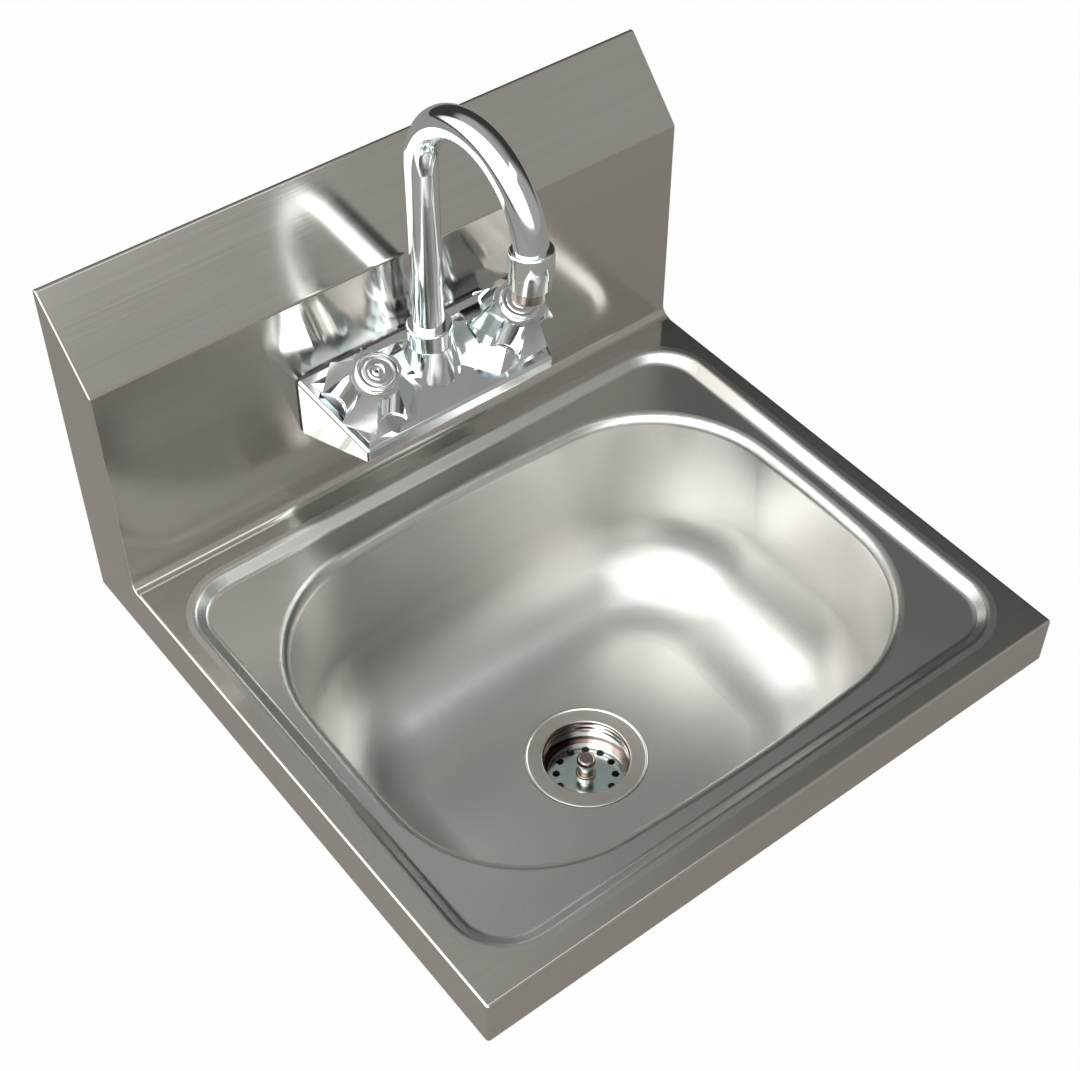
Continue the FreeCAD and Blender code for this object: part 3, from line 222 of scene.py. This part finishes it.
BOWL_DARK = (0.53, 0.522, 0.508, 1)
BOWL_LIGHT = (0.67, 0.661, 0.645, 1)
WHEEL_SHARE = 0.35
DRAWN_SHARE = 0.3
BOWL_CLOUD_SHARE = 0.35
BOWL_ROUGHNESS = 0.27
BOWL_MARKS_ROUGHEN = 0.05
LEDGE_SMOOTHER = 0.05
LEDGE_DROP = 0.0052
RIM_ROUND_FOOT = 0.006
RIM_ROUND_TOP = 0.0006
bowl_low, bowl_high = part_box("bowl")
ledge_level = bowl_high.z - LEDGE_DROP
bowl_finish, bowl = new_finish("satin_pressing", {"Metallic": 1.0})
wheel_marks = noise_over(bowl, per_metre=(500, 500, 900), detail=3.0)
drawn_marks = noise_over(bowl, per_metre=(5, 5, 130), detail=3.0)
bowl_clouds = noise_over(bowl, per_metre=(11, 11, 11))
bowl_share = wheel_marks * WHEEL_SHARE + drawn_marks * DRAWN_SHARE + bowl_clouds * BOWL_CLOUD_SHARE
bowl_marks = wheel_marks + drawn_marks + bowl_clouds
bowl_height = along(bowl, place_in(bowl), UP)
on_ledge = between(bowl, bowl_height, ledge_level - RIM_ROUND_FOOT, ledge_level - RIM_ROUND_TOP)
bowl.feed({
    "Base Color": blend_colours(bowl, bowl_share, BOWL_DARK, BOWL_LIGHT),
    "Roughness": BOWL_ROUGHNESS + bowl_marks * BOWL_MARKS_ROUGHEN - on_ledge * LEDGE_SMOOTHER,
    "Normal": bumped(bowl, wheel_marks, strength=0.04, distance=0.0004),
})
dress(bowl_finish, "bowl")


# Drain: a stainless cup with a beaded flange, clamped through the bowl's floor by the cast nut under it.
# The flange is satin like the bowl, its bead is bright, and the threaded throat is painted darker as
# shade, darkest on one side.
# A rubber gasket seals the cup below the floor, and a fibre ring lets the nut turn.

def beside_axis(surface, axis):
    """The step from an upright axis straight out to a point, in metres."""
    return surface.node("ShaderNodeVectorMath", {"operation": "MULTIPLY_ADD"},
                        {0: place_in(surface), 1: (1, 1, 0), 2: (-axis.x, -axis.y, 0)})


def length_of(surface, step):
    """How long a step is, in metres."""
    return surface.node("ShaderNodeVectorMath", {"operation": "LENGTH"}, {0: step}, output="Value")


FLANGE_DARK = (0.58, 0.56, 0.53, 1)
FLANGE_LIGHT = (0.68, 0.66, 0.63, 1)
# The bead's lighter colour is a painted highlight. Its polish comes from its lower roughness.
BEAD_PAINTED_HIGHLIGHT = (0.74, 0.73, 0.71, 1)
# The throat's two colours are painted shade: brownish grey on its lit side, nearly black on the far
# side.
THROAT_PAINTED_SHADE_LIGHT = (0.58, 0.51, 0.48, 1)
THROAT_PAINTED_SHADE_DARK = (0.10, 0.072, 0.066, 1)
BEAD_FOOT = 0.002
BEAD_CREST = 0.0014
BEAD_HEIGHT = 0.0006
CUP_MOUTH = 0.0275
CUP_LIP = 0.0016
CUP_DEPTH = 0.030
LIP_SHADED = 0.3
LIP_UNSHADED = 0.9
LIT_SIDE = (0.8, -0.6, 0)
SHADE_FULL = -0.5
SHADE_ENDS = 0.4
FLANGE_ROUGHNESS = 0.30
FLANGE_CLOUDS_ROUGHEN = 0.06
BEAD_SMOOTHER = 0.09
THROAT_SMOOTHER = 0.19
drain_low, drain_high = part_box("drain_cup")
drain_middle = (drain_low + drain_high) / 2
flange_radius = (drain_high.x - drain_low.x) / 2
cup_foot = drain_high.z - BEAD_HEIGHT - CUP_DEPTH
cup_finish, cup = new_finish("drain_steel_finish", {"Metallic": 1.0})
cup_clouds = noise_over(cup, per_metre=(60, 60, 60), detail=3.0)
from_axis = beside_axis(cup, drain_middle)
cup_radius = length_of(cup, from_axis)
cup_height = along(cup, place_in(cup), UP)
on_bead = between(cup, cup_radius, flange_radius - BEAD_FOOT, flange_radius - BEAD_CREST)
# The lip and the throat below it are painted darker as shade, which dims the lip's highlight, and
# darkest away from the lit side.
past_lip = between(cup, cup_radius, CUP_MOUTH + CUP_LIP * LIP_SHADED, CUP_MOUTH + CUP_LIP * LIP_UNSHADED)
in_throat = (1 - past_lip) * between(cup, cup_height, cup_foot, cup_foot + CUP_LIP)
across_cup = along(cup, from_axis, LIT_SIDE)
lit_side_share = between(cup, across_cup, CUP_MOUTH * SHADE_FULL, CUP_MOUTH * SHADE_ENDS)
flange_colour = blend_colours(cup, cup_clouds, FLANGE_DARK, FLANGE_LIGHT)
# The bead is painted lighter, as a highlight.
flange_and_bead_highlight = blend_colours(cup, on_bead, flange_colour, BEAD_PAINTED_HIGHLIGHT)
throat_shade_colour = blend_colours(cup, lit_side_share, THROAT_PAINTED_SHADE_DARK, THROAT_PAINTED_SHADE_LIGHT)
cup.feed({
    "Base Color": blend_colours(cup, in_throat, flange_and_bead_highlight, throat_shade_colour),
    "Roughness": (FLANGE_ROUGHNESS + cup_clouds * FLANGE_CLOUDS_ROUGHEN
                  - on_bead * BEAD_SMOOTHER - in_throat * THROAT_SMOOTHER),
})
dress(cup_finish, "drain_cup")
zinc_finish, zinc = new_finish("cast_zinc", {"Metallic": 1.0})
pits = mottle(zinc, per_metre=(400, 400, 400), detail=4.0,
              dark=(0.40, 0.41, 0.43, 1), light=(0.58, 0.59, 0.61, 1), smooth=0.38, rough=0.58)
zinc.feed({"Normal": bumped(zinc, pits, strength=0.2, distance=0.0004)})
dress(zinc_finish, "drain_locknut")
rubber_finish, rubber = new_finish("black_rubber_finish", {})
mottle(rubber, per_metre=(700, 700, 700), detail=2.0,
       dark=(0.018, 0.018, 0.018, 1), light=(0.04, 0.04, 0.04, 1), smooth=0.6, rough=0.8)
dress(rubber_finish, "drain_gasket")
fibre_finish, fibre = new_finish("fibre_board", {})
mottle(fibre, per_metre=(900, 900, 300), detail=3.0,
       dark=(0.48, 0.36, 0.24, 1), light=(0.66, 0.54, 0.40, 1), smooth=0.8, rough=0.9)
dress(fibre_finish, "drain_friction_ring")


# Strainer: a polished steel plate with a ring of holes, seated loose in the cup.
# It lifts out by the knobbed post that a nut holds through its middle.
strainer_finish, strainer = new_finish("strainer_polish", {"Metallic": 1.0})
mottle(strainer, per_metre=(120, 120, 120), detail=3.0,
       dark=(0.56, 0.70, 0.70, 1), light=(0.70, 0.83, 0.83, 1), smooth=0.10, rough=0.18)
dress(strainer_finish, "strainer_plate")
# The post and its nut are painted dark brown: painted shade and painted dark reflection on polished
# steel.
post_finish, post = new_finish("strainer_post_polish", {"Metallic": 1.0})
mottle(post, per_metre=(200, 200, 200), detail=3.0,
       dark=(0.27, 0.23, 0.21, 1), light=(0.44, 0.39, 0.36, 1), smooth=0.07, rough=0.13)
dress(post_finish, "strainer_post", "strainer_nut")


# Faucet body: one brass casting with two faceted valve seats and a hub, ground smooth and plated bright.
# Two threaded brass shanks behind it pass through the splash.
# Their nuts draw it up against a gasket, over steel washers.
PLATING_DARK = (0.72, 0.773, 0.782, 1)
PLATING_LIGHT = (0.84, 0.888, 0.897, 1)
plating_finish, plating = new_finish("polished_plating", {"Metallic": 1.0})
mottle(plating, per_metre=(45, 45, 45), detail=3.0,
       dark=PLATING_DARK, light=PLATING_LIGHT, smooth=0.06, rough=0.12)
ripple = noise_over(plating, per_metre=(160, 160, 160))
plating.feed({"Normal": bumped(plating, ripple, strength=0.02, distance=0.001)})
dress(plating_finish, "faucet_body")
gasket_finish, gasket = new_finish("grey_gasket", {})
mottle(gasket, per_metre=(700, 700, 700), detail=2.0,
       dark=(0.26, 0.255, 0.25, 1), light=(0.36, 0.355, 0.35, 1), smooth=0.5, rough=0.7)
dress(gasket_finish, "faucet_gasket")
brass_finish, brass = new_finish("machined_brass", {"Metallic": 1.0})
mottle(brass, per_metre=(700, 700, 700), detail=3.0,
       dark=(0.66, 0.50, 0.24, 1), light=(0.80, 0.66, 0.38, 1), smooth=0.24, rough=0.36)
dress(brass_finish, "hot_shank", "cold_shank", "shank_locknuts")
steel_finish, steel = new_finish("plain_steel", {"Metallic": 1.0})
mottle(steel, per_metre=(300, 300, 300), detail=3.0,
       dark=(0.52, 0.52, 0.52, 1), light=(0.64, 0.64, 0.64, 1), smooth=0.28, rough=0.40)
dress(steel_finish, "shank_washers")


# Valves: a brass bonnet screwed into each seat of the body, with a pair of lapped ceramic discs in it.
# The brass stem turns the upper disc by a quarter turn, and a rubber seal closes the seat below.
ceramic_finish, ceramic = new_finish("lapped_ceramic", {})
mottle(ceramic, per_metre=(500, 500, 500), detail=2.0,
       dark=(0.82, 0.80, 0.76, 1), light=(0.90, 0.89, 0.86, 1), smooth=0.15, rough=0.25)
SIDES = ("hot", "cold")
for side in SIDES:
    dress(rubber_finish, side + "_seat_seal")
    dress(ceramic_finish, side + "_fixed_disc", side + "_moving_disc")
    dress(brass_finish, side + "_bonnet", side + "_stem")


# Handles: four-lobed zinc castings, plated like the body and pressed on the brass stems.
# A steel screw holds each of them, and a round button with turned rings covers the screw.
# The button has a small dimple in the middle, painted dark as shade.
BUTTON_OUTLINE = [
    (0, 34.55), (12.1, 34.55), (12.5, 34.95), (12.5, 36.2), (12.2, 36.8), (11.4, 37.3),
    (10.4, 37.45), (9.7, 37.25), (9.25, 36.6), (8.9, 36.6), (8.5, 37.0), (8.0, 37.12),
    (5.4, 36.95), (5.1, 37.2), (4.6, 37.4), (4.1, 37.2), (3.8, 36.8), (2.8, 36.75),
    (2.5, 37.0), (1.9, 37.35), (1.3, 37.4), (0.9, 37.2), (0.75, 36.7), (0, 36.65)]
BUTTON_SIDES = 96
BUTTON_SHARP_ANGLE = math.radians(32)
MILLIMETRE = 0.001


def turned_mesh(name, outline, sides, sharp_angle):
    """A solid of revolution about Z from an outline of radius and height in millimetres."""
    points = []
    for radius, height in outline[1:-1]:
        for i in range(sides):
            turn = 2 * math.pi * i / sides
            points.append((radius * math.cos(turn), radius * math.sin(turn), height))
    faces = []
    rings = len(outline) - 2
    for k in range(rings - 1):
        for i in range(sides):
            j = (i + 1) % sides
            faces.append((k * sides + i, k * sides + j, (k + 1) * sides + j, (k + 1) * sides + i))
    for pole, ring_start in ((outline[0], 0), (outline[-1], (rings - 1) * sides)):
        points.append((0, 0, pole[1]))
        for i in range(sides):
            j = (i + 1) % sides
            fan = (ring_start + i, ring_start + j, len(points) - 1)
            faces.append(fan if ring_start else fan[::-1])
    mesh = bpy.data.meshes.new(name)
    mesh.from_pydata([Vector(point) * MILLIMETRE for point in points], [], faces)
    mesh.shade_smooth()
    mesh.set_sharp_from_angle(angle=sharp_angle)
    return mesh


def add_object(name, data):
    """Put a mesh, a lamp or a camera into the scene."""
    made = bpy.data.objects.new(name, data)
    bpy.context.scene.collection.objects.link(made)
    return made


BUTTON_DARK = (0.70, 0.71, 0.73, 1)
BUTTON_LIGHT = (0.80, 0.81, 0.82, 1)
DIMPLE_PAINTED_SHADE = (0.10, 0.08, 0.06, 1)
DIMPLE_FLOOR = 0.0007
DIMPLE_EDGE = 0.001
BUTTON_ROUGHNESS = 0.09
SMUDGES_ROUGHEN = 0.08
button_finish, button = new_finish("turned_button", {"Metallic": 1.0})
smudges = noise_over(button, per_metre=(60, 60, 60), detail=3.0)
button_radius = length_of(button, beside_axis(button, Vector()))
# The dimple is painted dark, as shade in the recess.
dimple = 1 - between(button, button_radius, DIMPLE_FLOOR, DIMPLE_EDGE)
button_plain = blend_colours(button, smudges, BUTTON_DARK, BUTTON_LIGHT)
button.feed({
    "Base Color": blend_colours(button, dimple, button_plain, DIMPLE_PAINTED_SHADE),
    "Roughness": BUTTON_ROUGHNESS + smudges * SMUDGES_ROUGHEN,
})
button_mesh = turned_mesh("button", BUTTON_OUTLINE, BUTTON_SIDES, BUTTON_SHARP_ANGLE)
button_mesh.materials.append(button_finish)
joints = {joint["name"]: joint for joint in frame["record"]["behaviour"]["joints"]}
valve_axis = Vector(joints["hot_turn"]["axis"])
for side in SIDES:
    dress(plating_finish, side + "_handle")
    dress(steel_finish, side + "_handle_screw")
    cap = add_object(side + "_ringed_button", button_mesh)
    cap.rotation_euler = valve_axis.to_track_quat("Z", "Y").to_euler()
    cap.location = joints[side + "_turn"]["pos_m"]
    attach(cap, side + "_valve")
    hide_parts(side + "_button")


# Gooseneck: a bent, plated brass tube that swivels in the hub, held down by a collar nut.
# Rubber seals and a white moulded ring guide it there.
# The plated nozzle on its end has its lowest part painted darker as shade, and holds a white insert
# under a rubber washer.
TIP_PAINTED_SHADE = (0.46, 0.40, 0.37, 1)
TIP_LENGTH = 0.0085
TIP_FADE = 0.00085
NOZZLE_ROUGHNESS = 0.06
WATER_MARKS_ROUGHEN = 0.05
TIP_ROUGHER = 0.05
dress(plating_finish, "spout_tube", "spout_nut")
dress(rubber_finish, "spout_seals", "aerator_washer")
tip_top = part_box("aerator_housing")[0].z + TIP_LENGTH
nozzle_finish, nozzle = new_finish("nozzle_plating", {"Metallic": 1.0})
water_marks = noise_over(nozzle, per_metre=(150, 150, 150), detail=3.0)
nozzle_height = along(nozzle, place_in(nozzle), UP)
# The lowest part of the nozzle is painted darker and browner, as shade.
on_tip = 1 - between(nozzle, nozzle_height, tip_top, tip_top + TIP_FADE)
nozzle_plain = blend_colours(nozzle, water_marks, PLATING_DARK, PLATING_LIGHT)
nozzle.feed({
    "Base Color": blend_colours(nozzle, on_tip, nozzle_plain, TIP_PAINTED_SHADE),
    "Roughness": NOZZLE_ROUGHNESS + water_marks * WATER_MARKS_ROUGHEN + on_tip * TIP_ROUGHER,
})
dress(nozzle_finish, "aerator_housing")
white_finish, white = new_finish("white_moulding", {})
mottle(white, per_metre=(300, 300, 300), detail=2.0,
       dark=(0.80, 0.80, 0.77, 1), light=(0.87, 0.87, 0.84, 1), smooth=0.4, rough=0.5)
dress(white_finish, "spout_ferrule", "aerator_insert")


# Outlet pipe: a straight tube of plated brass below the drain, fitted last.
# Its nut draws it up under the cup, against a rubber washer.
dress(plating_finish, "tailpiece", "tailpiece_nut")
dress(rubber_finish, "tailpiece_washer")


# Floor: a plain round sheet under the outlet pipe, matt and wide enough to fill the picture.
# The camera sees it nearly white, with a faint shadow, and metal mirrors a little of the white.

def ray_kind(surface, kind):
    """1 for light paths of one kind, 0 for the others."""
    return surface.node("ShaderNodeLightPath", output=kind)


FLOOR_RADIUS = 8.0
FLOOR_SIDES = 96
FLOOR_COLOUR = (0.18, 0.162, 0.146, 1)
FLOOR_ROUGHNESS = 0.9
WHITE = (1, 1, 1, 1)
WHITE_SEEN = 0.98
WHITE_MIRRORED = 0.12
floor_level = cad_box[0].z
floor_turns = [2 * math.pi * i / FLOOR_SIDES for i in range(FLOOR_SIDES)]
floor_ring = [Vector((FLOOR_RADIUS * math.cos(turn), FLOOR_RADIUS * math.sin(turn), floor_level))
              for turn in floor_turns]
floor_mesh = bpy.data.meshes.new("floor")
floor_mesh.from_pydata(floor_ring, [], [list(range(FLOOR_SIDES))])
floor = add_object("floor", floor_mesh)
floor_finish, floor_surface = new_finish("pale_floor", {
    "Base Color": FLOOR_COLOUR, "Roughness": FLOOR_ROUGHNESS})
floor_mesh.materials.append(floor_finish)
mirrored = ray_kind(floor_surface, "Is Glossy Ray") + ray_kind(floor_surface, "Is Transmission Ray")
white_share = ray_kind(floor_surface, "Is Camera Ray") * WHITE_SEEN + mirrored * WHITE_MIRRORED
white_paper = floor_surface.node("ShaderNodeEmission", {}, {"Color": WHITE, "Strength": 1.0})
lit_floor = floor_surface.node("ShaderNodeMixShader", {},
                               {0: white_share, 1: floor_surface, 2: white_paper})
floor_out = floor_finish.node_tree.nodes["Material Output"]
floor_finish.node_tree.links.new(lit_floor.output, floor_out.inputs["Surface"])


# Room: dim, with a bright wall on the left above its skirting, a grey wall in front and a pale ceiling.
# A lit panel hangs from the ceiling behind the basin. The steel mirrors all of them.
# The camera sees plain white.
TO_LEFT_WALL = (-0.967, -0.254, 0)
TO_FRONT_WALL = (0, -1, 0)
TO_PANEL = (-0.08, 0.5, 0.862)
DIM_COLOUR = (0.045, 0.043, 0.041, 1)
FRONT_WALL_COLOUR = (0.41, 0.40, 0.385, 1)
CEILING_COLOUR = (0.42, 0.41, 0.395, 1)
PANEL_COLOUR = (0.43, 0.42, 0.405, 1)
LEFT_WALL_COLOUR = (2.35, 2.34, 2.31, 1)
world = bpy.data.worlds.new("studio")
bpy.context.scene.world = world
world.use_nodes = True
room = Socket(world.node_tree.nodes["Background"].outputs[0])
outlook = room.node("ShaderNodeTexCoord", output="Generated")


def side_of_room(direction, begins, full):
    """1 well towards a direction, 0 away from it. Both limits are set against the angle's cosine."""
    return between(room, along(room, outlook, direction), begins, full)


front_wall = side_of_room(TO_FRONT_WALL, begins=0.05, full=0.46)
ceiling = side_of_room(UP, begins=0.6, full=1.05)
panel = side_of_room(TO_PANEL, begins=0.84, full=0.95)
above_skirting = side_of_room(UP, begins=0.0, full=0.17)
left_wall = side_of_room(TO_LEFT_WALL, begins=0.05, full=0.25) * above_skirting
room_colour = DIM_COLOUR
for share, colour in ((front_wall, FRONT_WALL_COLOUR), (ceiling, CEILING_COLOUR),
                      (panel, PANEL_COLOUR), (left_wall, LEFT_WALL_COLOUR)):
    room_colour = blend_colours(room, share, room_colour, colour)
seen_colour = blend_colours(room, ray_kind(room, "Is Camera Ray"), room_colour, WHITE)
room.feed({"Color": seen_colour, "Strength": 1.0})


# Lamps: two soft boxes that face the bowl, a large one on the left and a narrow one in front, high up.
# The left one is brighter, and lights the bowl's right wall.
bowl_middle = (bowl_low + bowl_high) / 2


def heading(azimuth, elevation):
    """A direction from angles in degrees: round from straight behind the basin to its right, then up."""
    around = math.radians(azimuth)
    rise = math.radians(elevation)
    return Vector((math.sin(around) * math.cos(rise), math.cos(around) * math.cos(rise), math.sin(rise)))


def softbox(name, azimuth, elevation, distance, width, height, radiance):
    """A soft rectangular lamp that faces the bowl, as bright as a sheet of the given radiance."""
    lamp = bpy.data.lights.new(name, "AREA")
    lamp.shape = "RECTANGLE"
    lamp.size = width
    lamp.size_y = height
    lamp.energy = radiance * width * height * math.pi
    outward = heading(azimuth, elevation)
    holder = add_object(name, lamp)
    holder.location = bowl_middle + outward * distance
    holder.rotation_euler = (-outward).to_track_quat("-Z", "Y").to_euler()


softbox("left_lamp", azimuth=258, elevation=44, distance=1.7, width=1.3, height=0.9, radiance=3.0)
softbox("front_lamp", azimuth=162, elevation=67, distance=1.7, width=0.9, height=0.35, radiance=1.25)


# Camera: it stands where the photograph was taken, in front of the basin, to its left and above it.
# Its place, angles and lens were fitted to the straight edges of the sheet in the photograph.
CAMERA_PLACE = Vector((-0.47491, -0.77705, 0.68278))
CAMERA_AZIMUTH = 38.116
CAMERA_ELEVATION = -46.798
CAMERA_ROLL = math.radians(0.255)
RIGHT_ANGLE = 90
SENSOR_MILLIMETRES = 36.0
LENS_MILLIMETRES = 64.068
camera_data = bpy.data.cameras.new("camera")
camera_data.sensor_width = SENSOR_MILLIMETRES
camera_data.lens = LENS_MILLIMETRES
camera = add_object("camera", camera_data)
ahead = heading(CAMERA_AZIMUTH, CAMERA_ELEVATION)
level = heading(CAMERA_AZIMUTH + RIGHT_ANGLE, 0)
above = level.cross(ahead)
right = level * math.cos(CAMERA_ROLL) + above * math.sin(CAMERA_ROLL)
upward = above * math.cos(CAMERA_ROLL) - level * math.sin(CAMERA_ROLL)
camera_turn = Matrix((right, upward, -ahead)).transposed()
camera.matrix_world = Matrix.Translation(CAMERA_PLACE) @ camera_turn.to_4x4()
bpy.context.scene.camera = camera
bpy.context.scene.view_settings.view_transform = "Standard"
